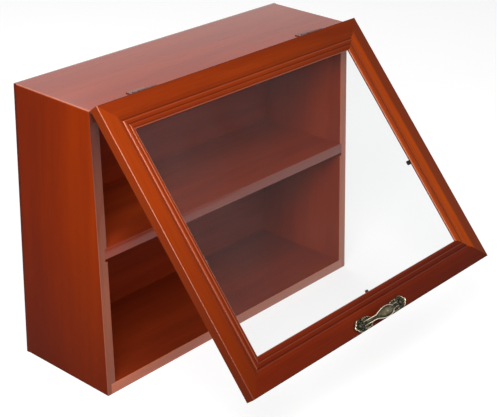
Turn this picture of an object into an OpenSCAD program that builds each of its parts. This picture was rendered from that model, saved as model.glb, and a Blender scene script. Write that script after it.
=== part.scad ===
// Countertop display case for small collectibles. One shelf, a front that leans
// back, and a glazed door that lifts on two small hinges along the top front edge.
// Origin at the centre of the underside, +Z up, +X to the right, front faces -Y.
// The door is drawn raised. Its hinge line lies just above the top front edge.

/* [Case] */
// Outside width of the case and of its door
case_w = 320; // [260:1:380]
// Outside height of the case
case_h = 247; // [220:1:300]
// Depth of the underside, front edge to back face
depth_bottom = 103; // [96:0.5:120]
// Depth of the top, front edge to back face
depth_top = 88.5; // [80:0.5:95]
// Thickness of each side
side_t = 9; // [8:0.1:12]
// Thickness of the top board and of the bottom board
board_t = 9.3; // [8:0.1:12]
// Thickness of the shelf
shelf_t = 9.4; // [7:0.1:12]
// Height of the underside of the shelf
shelf_z = 121.3; // [90:0.1:150]
// Depth of the shelf groove in each side
groove_d = 2.3; // [1.5:0.1:4]
// Height of the notch under the shelf at the front end of each groove
notch_h = 2.6; // [1:0.1:4]
// Length of that notch, front to back
notch_l = 5; // [2:0.5:10]
// Wood left outside the rabbet in each side that takes the bottom board
rabbet_lip = 4.5; // [3:0.1:6]
// Thickness of the back panel
back_t = 3.4; // [2.5:0.1:5]

/* [Door frame] */
// Angle the door is raised from shut
door_open = 37.9; // [0:0.1:180]
// Thickness of the door frame
frame_t = 8.9; // [8:0.1:11]
// Width of each rail and stile, outer edge to sight edge
rail_w = 26; // [25.5:0.1:32]
// Gap between the shut door and the case front
shut_gap = 0.2; // [0.1:0.05:0.5]
// Height of the shut door above the surface the case stands on
foot_gap = 0.8; // [0.4:0.1:3]
// Radius of the eased outer edge
arris_r = 0.8; // [0.4:0.1:1.5]
// Width of the flat face outside the moulding
flat_w = 13; // [11:0.1:14]
// Where the slope beside the flat face ends, from the outer edge
slope_w = 16.8; // [16:0.1:17.5]
// Depth of the sunk bed the two beads stand on
bed_d = 1.9; // [1.5:0.05:2.2]
// Middle of the wide bead, from the outer edge
bead_a_w = 19; // [18.8:0.1:19.4]
// Height of the wide bead above its bed
bead_a_h = 0.75; // [0.4:0.05:1]
// Rounding radius of the wide bead
bead_a_r = 3; // [2.5:0.1:3.4]
// Middle of the narrow bead, from the outer edge
bead_b_w = 22.9; // [22.7:0.1:23.1]
// Height of the narrow bead above its bed
bead_b_h = 0.4; // [0.3:0.05:0.6]
// Rounding radius of the narrow bead
bead_b_r = 2.6; // [2:0.1:2.8]
// Depth the beads are rooted below their bed
bead_root = 0.3; // [0.1:0.1:0.5]
// Radius of the hollow that falls to the sight edge
cove_r = 1.5; // [1:0.05:1.6]

/* [Glazing] */
// Width of the frame left behind the glass, from the outer edge
rebate_w = 21; // [19:0.1:22]
// Depth of the glass seat below the front face
seat_d = 3.8; // [3.8:0.1:5.1]
// Thickness of the glass
glass_t = 2; // [1.6:0.1:2.2]
// Clearance between the glass edge and the rebate
glass_fit = 0.5; // [0.2:0.1:1]
// Width of a glazing tab
tab_w = 4; // [3:0.1:6]
// Thickness of a glazing tab
tab_t = 0.6; // [0.4:0.1:0.8]
// Length of a glazing tab
tab_l = 12; // [10:0.5:14]
// Reach of the tabs on the stiles past the sight edge
tab_side_reach = 3.2; // [2:0.1:6]
// Distance of those tabs below the top edge of the door
tab_side_down = 140.5; // [80:0.5:160]
// Reach of the tab on the bottom rail past the sight edge
tab_low_reach = 1.8; // [1:0.1:6]
// Sideways place of that tab
tab_low_x = 6; // [-60:0.5:60]
// Reach of the tab on the top rail past the sight edge
tab_high_reach = 0.8; // [0.4:0.1:6]
// Sideways place of that tab
tab_high_x = 10; // [-60:0.5:60]

/* [Hinges] */
// Length of each hinge
hinge_l = 19; // [18:0.5:24]
// Middle of each hinge, in from the side of the case
hinge_in = 56; // [40:1:80]
// Height of the hinge line above the top of the case
axis_up = 1.9; // [1.9:0.05:2.6]
// Height of the hinge line above the top edge of the door
axis_drop = 1.9; // [1.9:0.05:2.6]
// Radius of the hinge knuckles
knuckle_r = 1.6; // [1.5:0.05:1.6]
// Gap between neighbouring knuckles
knuckle_gap = 0.2; // [0.1:0.05:0.4]
// Gap between a knuckle and the leaf that turns round it
leaf_gap = 0.3; // [0.2:0.05:0.4]
// Distance of each leaf's inner edge from the hinge line
leaf_start = 0.6; // [0.4:0.1:0.8]
// Length of the middle knuckle
knuckle_mid = 7.4; // [6:0.1:8]
// Thickness of a hinge leaf
leaf_t = 0.9; // [0.7:0.05:1]
// Reach of a hinge leaf from the hinge line
leaf_reach = 8.2; // [7.5:0.1:8.5]
// Radius of the hinge pin
pin_r = 0.8; // [0.7:0.05:0.9]
// Clearance of the pin in the turning knuckle
pin_fit = 0.05; // [0.03:0.01:0.08]
// Distance between the two screws in a leaf
leaf_screw_gap = 12; // [11:0.5:13]
// Distance of those screws from the hinge line
leaf_screw_y = 5; // [4.6:0.1:5.4]
// Head radius of a leaf screw
leaf_head_r = 1.4; // [1.2:0.05:1.6]
// Shank radius of a leaf screw
leaf_shank_r = 0.75; // [0.5:0.05:0.9]
// Length of a leaf screw
leaf_screw_l = 7; // [5:0.5:8]

/* [Pull] */
// Distance between the two screws of the pull
pull_span = 55; // [50:0.5:64]
// Radius of the rosette at each end
rosette_r = 5.5; // [5:0.1:6.5]
// Thickness of the rosette plate
rosette_t = 1.4; // [1:0.1:2]
// Height of the raised rosette rim
rim_h = 2.1; // [1.6:0.1:2.6]
// Number of lobes around the rosette rim
rim_lobes = 10; // [6:1:14]
// Radius of a rim lobe
lobe_r = 1.2; // [0.8:0.1:1.4]
// Radius of the lobe at the tip of the pull
tip_r = 1.9; // [1:0.1:2.4]
// Distance of the tip lobe from the screw
tip_out = 5.1; // [4:0.1:5.6]
// Half the length of the bow at the rail face
bow_half = 20; // [18:0.1:21]
// Height of the outside of the bow
bow_h = 9.4; // [8.8:0.1:11]
// Height of the finger gap under the bow
gap_h = 6.8; // [5.6:0.1:7]
// Half the length of the finger gap at the rail face
gap_half = 16.5; // [14:0.1:16.8]
// Width of the bow at its roots
bow_root_w = 5; // [4:0.1:6.4]
// Width of the bow across its middle
bow_mid_w = 9.4; // [8:0.1:10.5]
// Length of the swell in the middle of the bow, point to point
swell_l = 26; // [22:0.5:30]
// Width of the rib along the bow
rib_w = 1.2; // [0.8:0.1:2]
// Height of that rib above the bow
rib_h = 0.4; // [0.2:0.1:0.8]
// Head radius of a pull screw
pull_head_r = 2.3; // [2:0.1:2.6]
// Height of the domed head
pull_dome_h = 1.3; // [0.8:0.1:1.8]
// Shank radius of a pull screw
pull_shank_r = 1; // [0.8:0.05:1.2]
// Height of the screw seat above the rosette plate
seat_rise = 0.4; // [0.2:0.1:0.8]
// Width of that seat around the screw head
seat_edge = 0.3; // [0.2:0.1:0.6]
// Depth a pull screw reaches into the rail
pull_screw_l = 6.5; // [4:0.5:7]
// Clearance of that screw in the pull
pull_bore_fit = 0.1; // [0.05:0.05:0.3]
// Distance of each foot from the end of the bow
foot_out = 1.5; // [0.5:0.1:2]
// Radius of each foot
foot_r = 2.9; // [2.4:0.1:3.2]
// Height of each foot
foot_h = 2.2; // [1.6:0.1:3]

/* [Back brads] */
// Shank radius of a brad
brad_r = 0.6; // [0.4:0.05:0.8]
// Head radius of a brad
brad_head_r = 1.1; // [0.9:0.05:1.4]
// Thickness of a brad head
brad_head_t = 0.5; // [0.3:0.1:0.8]
// Length of a brad
brad_l = 15; // [10:0.5:20]
// Number of brads up each side
side_brads = 4; // [2:1:6]
// Distance of the brads along the top and bottom from the middle
end_brad_x = 60; // [20:1:90]

/* [Hidden] */
$fn = 48;
half_w = case_w / 2;
inner_half = half_w - side_t;
y_front = -depth_bottom / 2;
y_back = depth_bottom / 2;
y_top_front = y_back - depth_top;
y_panel = y_back - back_t;
lean = atan((depth_bottom - depth_top) / case_h);
axis_z = case_h + axis_up;
axis_y = y_front + axis_z * tan(lean);
door_h = (axis_z - foot_gap) / cos(lean) - axis_drop;
lip_y = frame_t - seat_d;
glass_back = lip_y - glass_t;
bed_y = frame_t - bed_d;
hinge_x = half_w - hinge_in;
knuckle_end = (hinge_l - knuckle_mid) / 2 - knuckle_gap;
mid_slot = knuckle_mid / 2 + knuckle_gap;
bow_r = (bow_half * bow_half + bow_h * bow_h) / (2 * bow_h);
gap_r = (gap_half * gap_half + gap_h * gap_h) / (2 * gap_h);
swell_r = (swell_l * swell_l / 4 + bow_mid_w * bow_mid_w / 4) / bow_mid_w;
pull_seat = rosette_t + seat_rise;
eps = 1;

wood = [0.55, 0.2, 0.09];
wood_dark = [0.45, 0.16, 0.08];
brass = [0.78, 0.66, 0.4];
antique = [0.55, 0.5, 0.38];
steel = [0.7, 0.7, 0.68];
black = [0.06, 0.06, 0.06];
clear = [0.85, 0.9, 0.9, 0.35];

// Everything between two x values inside the leaning outline of the case.
module case_wedge(x0, x1) {
  translate([x0, 0, 0])
    rotate([90, 0, 90])
      linear_extrude(x1 - x0)
        polygon([[y_front, 0], [y_panel, 0], [y_panel, case_h], [y_top_front, case_h]]);
}

// Outline seen from the front, cut straight through the depth of the case.
module front_cut(points) {
  translate([0, y_back + eps, 0])
    rotate([90, 0, 0])
      linear_extrude(depth_bottom + 2 * eps)
        polygon(points);
}

// Repeats its children at every brad, shank pointing to the front.
module at_brads() {
  for (side = [-1, 1])
    for (i = [0 : side_brads - 1])
      translate([side * (half_w - side_t / 2), y_back, case_h * (i + 0.5) / side_brads])
        rotate([90, 0, 0])
          children();
  for (side = [-1, 1])
    for (z = [board_t / 2, case_h - board_t / 2])
      translate([side * end_brad_x, y_back, z])
        rotate([90, 0, 0])
          children();
}

module brad() {
  cylinder(h = brad_head_t, r = brad_head_r);
  cylinder(h = brad_l, r = brad_r);
}

// Repeats its children at the screws of both case leaves, head up.
module at_case_screws() {
  for (side = [-1, 1])
    for (end = [-1, 1])
      translate([side * hinge_x + end * leaf_screw_gap / 2, axis_y + leaf_screw_y, case_h])
        children();
}

// A countersunk screw with its seat plane at z = 0 and its head up to the leaf face.
module leaf_screw() {
  translate([0, 0, leaf_t - leaf_screw_l])
    cylinder(h = leaf_screw_l, r = leaf_shank_r);
  cylinder(h = leaf_t, r1 = leaf_shank_r, r2 = leaf_head_r);
}

// The notch under the shelf, a set distance deep behind the leaning front.
module groove_notch(x0) {
  difference() {
    translate([x0, y_front - eps, shelf_z - notch_h])
      cube([groove_d + eps, depth_bottom / 2, notch_h + eps]);
    translate([0, notch_l, 0])
      case_wedge(-half_w, half_w);
  }
}

module side_board(side) {
  outer = side * half_w;
  inner = side * inner_half;
  groove_x = side > 0 ? inner_half - eps : -inner_half - groove_d;
  rabbet_x = side > 0 ? inner_half - eps : -half_w + rabbet_lip;
  difference() {
    intersection() {
      case_wedge(min(outer, inner), max(outer, inner));
      front_cut([
        [outer, 0],
        [inner - side * eps, 0],
        [inner - side * eps, case_h - board_t - eps * board_t / side_t],
        [outer, case_h]
      ]);
    }
    translate([rabbet_x, y_front - eps, -eps])
      cube([side_t - rabbet_lip + eps, depth_bottom + 2 * eps, board_t + eps]);
    translate([groove_x, y_front - eps, shelf_z])
      cube([groove_d + eps, depth_bottom + 2 * eps, shelf_t]);
    groove_notch(groove_x);
    at_brads() brad();
  }
}

module left_side() {
  color(wood) side_board(-1);
}

module right_side() {
  color(wood) side_board(1);
}

module top_panel() {
  color(wood)
    difference() {
      intersection() {
        case_wedge(-half_w, half_w);
        front_cut([
          [-half_w, case_h],
          [half_w, case_h],
          [inner_half, case_h - board_t],
          [-inner_half, case_h - board_t]
        ]);
      }
      at_brads() brad();
      at_case_screws() leaf_screw();
    }
}

module bottom_panel() {
  color(wood)
    difference() {
      intersection() {
        case_wedge(-half_w + rabbet_lip, half_w - rabbet_lip);
        translate([-half_w, y_front - eps, 0])
          cube([case_w, depth_bottom + 2 * eps, board_t]);
      }
      at_brads() brad();
    }
}

module shelf() {
  color(wood)
    intersection() {
      case_wedge(-inner_half - groove_d, inner_half + groove_d);
      translate([-half_w, y_front - eps, shelf_z])
        cube([case_w, depth_bottom + 2 * eps, shelf_t]);
    }
}

module back_panel() {
  color(wood_dark)
    difference() {
      translate([-half_w, y_panel, 0])
        cube([case_w, back_t, case_h]);
      at_brads() brad();
    }
}

module back_brads() {
  color(steel) at_brads() brad();
}

// Places a door piece. Hinge line at its origin, door hanging along -Z, face to -Y.
module on_door() {
  translate([0, axis_y, axis_z])
    rotate([-(lean + door_open), 0, 0])
      children();
}

// A rounded bead standing on the sunk bed.
module bead(w, h, r) {
  intersection() {
    translate([w, bed_y + h - r])
      circle(r = r);
    translate([w - r, bed_y - bead_root])
      square([2 * r, h + bead_root + eps]);
  }
}

// Section of a rail. x runs from the outer edge inwards, y from the back to the face.
module moulding() {
  difference() {
    union() {
      polygon([
        [0, 0],
        [rebate_w, 0],
        [rebate_w, lip_y],
        [rail_w, lip_y],
        [rail_w, bed_y],
        [slope_w, bed_y],
        [flat_w, frame_t],
        [0, frame_t]
      ]);
      bead(bead_a_w, bead_a_h, bead_a_r);
      bead(bead_b_w, bead_b_h, bead_b_r);
    }
    translate([rail_w, bed_y])
      circle(r = cove_r);
    difference() {
      translate([-eps, frame_t - arris_r])
        square([arris_r + eps, arris_r + eps]);
      translate([arris_r, frame_t - arris_r])
        circle(r = arris_r);
    }
  }
}

// Outline seen on the door face, cut straight through the door.
module door_cut(points) {
  translate([0, eps, 0])
    rotate([90, 0, 0])
      linear_extrude(frame_t + shut_gap + 2 * eps)
        polygon(points);
}

// Left or right stile in the door frame, mitred at both ends.
module stile(side) {
  intersection() {
    translate([side * half_w, -shut_gap, side > 0 ? -axis_drop - door_h : -axis_drop])
      rotate(side > 0 ? [0, 0, 180] : [180, 0, 0])
        linear_extrude(door_h)
          moulding();
    door_cut([
      [side * half_w, -axis_drop],
      [side * (half_w - rail_w), -axis_drop - rail_w],
      [side * (half_w - rail_w), -axis_drop - door_h + rail_w],
      [side * half_w, -axis_drop - door_h]
    ]);
  }
}

// The four tabs, flat on the back of the glass and driven into the rebate walls.
module tab_set() {
  translate([0, -shut_gap - glass_back, -axis_drop]) {
    translate([half_w - rail_w - tab_side_reach, 0, -tab_side_down - tab_w / 2])
      cube([tab_l, tab_t, tab_w]);
    translate([-half_w + rail_w + tab_side_reach - tab_l, 0, -tab_side_down - tab_w / 2])
      cube([tab_l, tab_t, tab_w]);
    translate([tab_high_x - tab_w / 2, 0, -rail_w - tab_high_reach])
      cube([tab_w, tab_t, tab_l]);
    translate([tab_low_x - tab_w / 2, 0, -door_h + rail_w + tab_low_reach - tab_l])
      cube([tab_w, tab_t, tab_l]);
  }
}

// Repeats its children at the screws of both door leaves, head to the hinge line.
module at_door_screws() {
  for (side = [-1, 1])
    for (end = [-1, 1])
      translate([side * hinge_x + end * leaf_screw_gap / 2, -leaf_screw_y, -axis_drop])
        children();
}

// Places a piece of the pull. x along the rail, y up the door, z out of its face.
module on_pull() {
  translate([0, -shut_gap - frame_t, -axis_drop - door_h + rosette_r])
    rotate([90, 0, 0])
      children();
}

module at_pull_screws() {
  for (side = [-1, 1])
    translate([side * pull_span / 2, 0, 0])
      children();
}

module door_top_rail() {
  color(wood)
    on_door()
      difference() {
        intersection() {
          translate([half_w, -shut_gap, -axis_drop])
            rotate([0, 90, 180])
              linear_extrude(case_w)
                moulding();
          door_cut([
            [-half_w, -axis_drop],
            [half_w, -axis_drop],
            [half_w - rail_w, -axis_drop - rail_w],
            [-half_w + rail_w, -axis_drop - rail_w]
          ]);
        }
        tab_set();
        at_door_screws() leaf_screw();
      }
}

module door_bottom_rail() {
  color(wood)
    on_door()
      difference() {
        intersection() {
          translate([-half_w, -shut_gap, -axis_drop - door_h])
            rotate([0, -90, 180])
              linear_extrude(case_w)
                moulding();
          door_cut([
            [-half_w, -axis_drop - door_h],
            [half_w, -axis_drop - door_h],
            [half_w - rail_w, -axis_drop - door_h + rail_w],
            [-half_w + rail_w, -axis_drop - door_h + rail_w]
          ]);
        }
        tab_set();
        on_pull() at_pull_screws() pull_shank(pull_shank_r);
      }
}

module door_left_stile() {
  color(wood)
    on_door()
      difference() {
        stile(-1);
        tab_set();
      }
}

module door_right_stile() {
  color(wood)
    on_door()
      difference() {
        stile(1);
        tab_set();
      }
}

module glass_pane() {
  glass_w = case_w - 2 * rebate_w - 2 * glass_fit;
  glass_h = door_h - 2 * rebate_w - 2 * glass_fit;
  color(clear)
    on_door()
      translate([-glass_w / 2, -shut_gap - lip_y, -axis_drop - rebate_w - glass_fit - glass_h])
        cube([glass_w, glass_t, glass_h]);
}

module glazing_tabs() {
  color(black) on_door() tab_set();
}

// A round bar along x, centred on the hinge line.
module x_bar(length, radius) {
  rotate([0, 90, 0])
    cylinder(h = length, r = radius, center = true);
}

// Room for one knuckle of the other leaf, with the knuckle gap at both ends.
module knuckle_room(x0, length) {
  translate([x0, -knuckle_r - eps, -axis_up - axis_drop])
    cube([length, 2 * knuckle_r + eps + leaf_gap, 2 * axis_up + 2 * axis_drop]);
}

// The flat of a leaf, reaching along +Y a set distance below the hinge line.
module leaf_plate(drop) {
  translate([-hinge_l / 2, leaf_start, -drop])
    cube([hinge_l, leaf_reach - leaf_start, leaf_t]);
}

// Leaf with the two outer knuckles, which hold the pin.
module outer_leaf() {
  difference() {
    union() {
      leaf_plate(axis_up);
      for (end = [-1, 1])
        translate([end * (hinge_l - knuckle_end) / 2, 0, 0])
          x_bar(knuckle_end, knuckle_r);
    }
    knuckle_room(-mid_slot, 2 * mid_slot);
    x_bar(hinge_l + 2 * eps, pin_r);
  }
}

// Leaf with the middle knuckle, which turns on the pin.
module middle_leaf() {
  room_l = (hinge_l - knuckle_mid) / 2 + eps;
  rotate([0, 0, 180])
    difference() {
      union() {
        leaf_plate(axis_drop);
        x_bar(knuckle_mid, knuckle_r);
      }
      knuckle_room(knuckle_mid / 2, room_l);
      knuckle_room(-knuckle_mid / 2 - room_l, room_l);
      x_bar(hinge_l + 2 * eps, pin_r + pin_fit);
    }
}

module case_leaf(side) {
  difference() {
    translate([side * hinge_x, axis_y, axis_z])
      outer_leaf();
    at_case_screws() leaf_screw();
  }
}

module door_leaf(side) {
  on_door()
    difference() {
      translate([side * hinge_x, 0, 0])
        middle_leaf();
      at_door_screws() leaf_screw();
    }
}

module hinge_pin(side) {
  translate([side * hinge_x, axis_y, axis_z])
    x_bar(hinge_l, pin_r);
}

module hinge_left_case_leaf() {
  color(brass) case_leaf(-1);
}

module hinge_right_case_leaf() {
  color(brass) case_leaf(1);
}

module hinge_left_pin() {
  color(steel) hinge_pin(-1);
}

module hinge_right_pin() {
  color(steel) hinge_pin(1);
}

module case_leaf_screws() {
  color(brass) at_case_screws() leaf_screw();
}

module hinge_left_door_leaf() {
  color(brass) door_leaf(-1);
}

module hinge_right_door_leaf() {
  color(brass) door_leaf(1);
}

module door_leaf_screws() {
  color(brass) on_door() at_door_screws() leaf_screw();
}

// Shank of a pull screw, from its tip in the rail up to the seat of its head.
module pull_shank(r) {
  translate([0, 0, -pull_screw_l])
    cylinder(h = pull_screw_l + pull_seat, r = r);
}

// Domed head of a pull screw on its seat.
module pull_head() {
  dome_r = (pull_head_r * pull_head_r + pull_dome_h * pull_dome_h) / (2 * pull_dome_h);
  translate([0, 0, pull_seat])
    rotate_extrude()
      intersection() {
        translate([0, pull_dome_h - dome_r])
          circle(r = dome_r);
        square([pull_head_r, pull_dome_h]);
      }
}

// Rosette with a lobed rim, a raised seat for the screw and a lobe at the tip.
module rosette() {
  cylinder(h = rosette_t, r = rosette_r - lobe_r / 2);
  cylinder(h = pull_seat, r = pull_head_r + seat_edge);
  for (i = [0 : rim_lobes - 1])
    rotate([0, 0, i * 360 / rim_lobes])
      translate([rosette_r - lobe_r, 0, 0])
        cylinder(h = rim_h, r = lobe_r);
  translate([tip_out, 0, 0])
    cylinder(h = rosette_t, r = tip_r);
}

// The arch seen from the side, between two circles.
module bow_side(rise, r, under) {
  difference() {
    translate([0, rise - r])
      circle(r = r);
    translate([0, gap_h - gap_r - under])
      circle(r = gap_r);
    translate([-2 * bow_half, -4 * bow_r])
      square([4 * bow_half, 4 * bow_r]);
  }
}

// The arch seen from the front, swelling towards its middle.
module bow_plan() {
  square([2 * (bow_half + foot_r), bow_root_w], center = true);
  intersection() {
    translate([0, swell_r - bow_mid_w / 2])
      circle(r = swell_r);
    translate([0, bow_mid_w / 2 - swell_r])
      circle(r = swell_r);
  }
}

module bow() {
  intersection() {
    translate([0, bow_mid_w, 0])
      rotate([90, 0, 0])
        linear_extrude(2 * bow_mid_w)
          bow_side(bow_h, bow_r, 0);
    linear_extrude(bow_h + eps)
      bow_plan();
  }
  translate([0, rib_w / 2, 0])
    rotate([90, 0, 0])
      linear_extrude(rib_w)
        bow_side(bow_h + rib_h, bow_r, 0);
}

module pull_handle() {
  color(antique)
    on_door()
      on_pull()
        difference() {
          union() {
            bow();
            for (turn = [0, 180])
              rotate([0, 0, turn])
                translate([pull_span / 2, 0, 0])
                  rosette();
            for (side = [-1, 1])
              translate([side * (bow_half + foot_out), 0, 0])
                cylinder(h = foot_h, r = foot_r);
          }
          at_pull_screws() pull_shank(pull_shank_r + pull_bore_fit);
        }
}

module pull_screws() {
  color(antique)
    on_door()
      on_pull()
        at_pull_screws() {
          pull_shank(pull_shank_r);
          pull_head();
        }
}

left_side();
right_side();
top_panel();
bottom_panel();
shelf();
back_panel();
back_brads();
hinge_left_case_leaf();
hinge_right_case_leaf();
hinge_left_pin();
hinge_right_pin();
case_leaf_screws();
door_top_rail();
door_bottom_rail();
door_left_stile();
door_right_stile();
glass_pane();
glazing_tabs();
hinge_left_door_leaf();
hinge_right_door_leaf();
door_leaf_screws();
pull_handle();
pull_screws();
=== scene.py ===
"""Looks of a small display case with a lift-up glazed door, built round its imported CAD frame."""

import math

import bmesh
import bpy
from mathutils import Matrix, Vector


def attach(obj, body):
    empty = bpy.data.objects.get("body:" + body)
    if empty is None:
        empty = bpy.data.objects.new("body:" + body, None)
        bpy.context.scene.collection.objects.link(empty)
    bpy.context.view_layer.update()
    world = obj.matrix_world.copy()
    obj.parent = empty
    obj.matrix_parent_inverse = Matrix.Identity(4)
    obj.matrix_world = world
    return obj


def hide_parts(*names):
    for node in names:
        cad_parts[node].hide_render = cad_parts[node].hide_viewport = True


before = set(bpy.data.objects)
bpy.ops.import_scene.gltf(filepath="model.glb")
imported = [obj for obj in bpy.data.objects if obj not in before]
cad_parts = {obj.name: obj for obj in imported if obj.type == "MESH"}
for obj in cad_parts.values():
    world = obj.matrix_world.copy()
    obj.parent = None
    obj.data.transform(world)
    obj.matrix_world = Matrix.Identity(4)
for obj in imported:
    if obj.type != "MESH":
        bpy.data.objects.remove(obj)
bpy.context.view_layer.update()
bpy.context.scene.view_settings.view_transform = "Standard"

# Sizes of the CAD source, in metres
MM = 0.001
CASE_W, CASE_H = 0.320, 0.247
DEPTH_BOTTOM, DEPTH_TOP = 0.103, 0.0885
SIDE_T, BOARD_T, SHELF_T = 0.009, 0.0093, 0.0094
SHELF_Z, GROOVE_D, NOTCH_H, NOTCH_L = 0.1213, 0.0023, 0.0026, 0.005
RABBET_LIP, BACK_T = 0.0045, 0.0034
FRAME_T, RAIL_W, SHUT_GAP = 0.0089, 0.026, 0.0002
FLAT_W, SLOPE_W, BED_D = 0.013, 0.0168, 0.0019
BEADS = ((0.019, 0.00075, 0.003), (0.0229, 0.0004, 0.0026))
COVE_R, ARRIS_R, TOE = 0.0015, 0.0008, 0.0004
REBATE_W, SEAT_D, GLASS_T, GLASS_FIT = 0.021, 0.0038, 0.002, 0.0005
AXIS_UP, AXIS_DROP, FOOT_GAP = 0.0019, 0.0019, 0.0008
TAB_W, TAB_T, TAB_L, TAB_ROUND = 0.0040, 0.0006, 0.012, 0.0011
TAB_SIDE_REACH, TAB_SIDE_DOWN = 0.0032, 0.1405
TAB_TOP_REACH, TAB_TOP_X, TAB_LOW_REACH, TAB_LOW_X = 0.0008, 0.010, 0.0018, 0.006
PULL_SPAN, ROSETTE_R = 0.055, 0.0055
# Rounding of the boards' eased edges, how far the brad heads stand proud, and the pane's ground edge
EASE, BRAD_PROUD, GROUND = 0.0004, 0.0001, 0.0003

HALF_W = CASE_W / 2
INNER_HALF = HALF_W - SIDE_T
Y_FRONT, Y_BACK = -DEPTH_BOTTOM / 2, DEPTH_BOTTOM / 2
Y_PANEL = Y_BACK - BACK_T
SLOPE = (DEPTH_BOTTOM - DEPTH_TOP) / CASE_H
LEAN = math.atan(SLOPE)
AXIS_Z = CASE_H + AXIS_UP
AXIS_Y = Y_FRONT + AXIS_Z * SLOPE
DOOR_H = (AXIS_Z - FOOT_GAP) / math.cos(LEAN) - AXIS_DROP
OPEN = math.radians(37.9)

# Door frame coordinates: hinge line at the origin, door hanging along -Z, face to -Y
DOOR = Matrix.Translation((0, AXIS_Y, AXIS_Z)) @ Matrix.Rotation(-(LEAN + OPEN), 4, "X")
# Pull coordinates: x along the rail, y up the door, z out of its face
PULL = (
    DOOR
    @ Matrix.Translation((0, -SHUT_GAP - FRAME_T, -AXIS_DROP - DOOR_H + ROSETTE_R))
    @ Matrix.Rotation(math.radians(90), 4, "X")
)


def front_y(z):
    """The leaning front plane of the case."""
    return Y_FRONT + z * SLOPE


# ---------------------------------------------------------------- camera
# Solved from the straight edges: focal length and principal point in pixels, angles in degrees
CAMERA_PX = dict(f=1304.79, cx=221.14, cy=184.89, az=-48.226, el=24.255, roll=1.089)
CAMERA_AT = (-0.616192 - HALF_W, -0.670496 + Y_FRONT, 0.60112)
PHOTO_W, PHOTO_H = 497, 417


def make_camera():
    az, el, roll = (math.radians(CAMERA_PX[k]) for k in ("az", "el", "roll"))
    back = Vector((math.sin(az) * math.cos(el), -math.cos(az) * math.cos(el), math.sin(el)))
    right = Vector((0, 0, 1)).cross(back).normalized()
    up = back.cross(right)
    c, s = math.cos(roll), math.sin(roll)
    right, up = c * right + s * up, -s * right + c * up
    cam = bpy.data.objects.new("camera", bpy.data.cameras.new("camera"))
    bpy.context.scene.collection.objects.link(cam)
    m = Matrix((right, up, back)).transposed().to_4x4()
    m.translation = CAMERA_AT
    cam.matrix_world = m
    cam.data.sensor_width = 36
    cam.data.lens = CAMERA_PX["f"] / PHOTO_W * 36
    cam.data.shift_x = (PHOTO_W / 2 - CAMERA_PX["cx"]) / PHOTO_W
    cam.data.shift_y = (CAMERA_PX["cy"] - PHOTO_H / 2) / PHOTO_W
    cam.data.clip_start, cam.data.clip_end = 0.01, 50
    bpy.context.scene.camera = cam


make_camera()


# ---------------------------------------------------------------- node helpers
class Nodes:
    """A material's node tree with short calls for the nodes used here."""

    def __init__(self, name):
        self.mat = bpy.data.materials.new(name)
        self.mat.use_nodes = True
        self.tree = self.mat.node_tree
        self.bsdf = self.tree.nodes["Principled BSDF"]
        self.out = self.tree.nodes["Material Output"]

    def add(self, kind, inputs=None, **settings):
        node = self.tree.nodes.new(kind)
        for key, value in settings.items():
            setattr(node, key, value)
        for key, value in (inputs or {}).items():
            self.put(node.inputs[key], value)
        return node

    def put(self, socket, value):
        if isinstance(value, bpy.types.NodeSocket):
            self.tree.links.new(value, socket)
        else:
            socket.default_value = value

    def noise(self, vector, scale, detail=3, rough=0.5, distort=0.0):
        node = self.add("ShaderNodeTexNoise", {"Vector": vector, "Scale": scale, "Detail": detail,
                                               "Roughness": rough, "Distortion": distort})
        return node.outputs["Fac"]

    def stretch(self, vector, scale, move=(0, 0, 0)):
        node = self.add("ShaderNodeMapping", {"Vector": vector, "Scale": scale, "Location": move})
        return node.outputs["Vector"]

    def span(self, value, a, b, c=0.0, d=1.0):
        """Maps a to b onto c to d, and clamps."""
        node = self.add("ShaderNodeMapRange", {"Value": value, "From Min": a, "From Max": b,
                                               "To Min": c, "To Max": d})
        return node.outputs["Result"]

    def math(self, op, a, b):
        node = self.add("ShaderNodeMath", operation=op)
        self.put(node.inputs[0], a)
        self.put(node.inputs[1], b)
        return node.outputs[0]

    def mix(self, fac, a, b):
        node = self.add("ShaderNodeMix", data_type="RGBA")
        self.put(node.inputs[0], fac)
        for socket, colour in ((6, a), (7, b)):
            linked = isinstance(colour, bpy.types.NodeSocket)
            self.put(node.inputs[socket], colour if linked else (*colour, 1))
        return node.outputs[2]

    def mix_shaders(self, fac, a, b):
        node = self.add("ShaderNodeMixShader")
        for socket, value in enumerate((fac, a, b)):
            self.put(node.inputs[socket], value)
        return node.outputs[0]

    def attribute(self, name):
        return self.add("ShaderNodeAttribute", attribute_name=name)

    def where(self):
        return self.add("ShaderNodeTexCoord").outputs["Object"]

    def axis(self, vector, name):
        return self.add("ShaderNodeSeparateXYZ", {"Vector": vector}).outputs[name]

    def surface(self, values):
        """Sets plain numbers of the surface, by the names of its sockets."""
        for key, value in values.items():
            self.bsdf.inputs[key].default_value = value

    def bump(self, height, strength, distance):
        node = self.add("ShaderNodeBump", {"Height": height, "Strength": strength, "Distance": distance})
        self.put(self.bsdf.inputs["Normal"], node.outputs["Normal"])


def times(share, colour):
    return tuple(share * c for c in colour)


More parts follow.
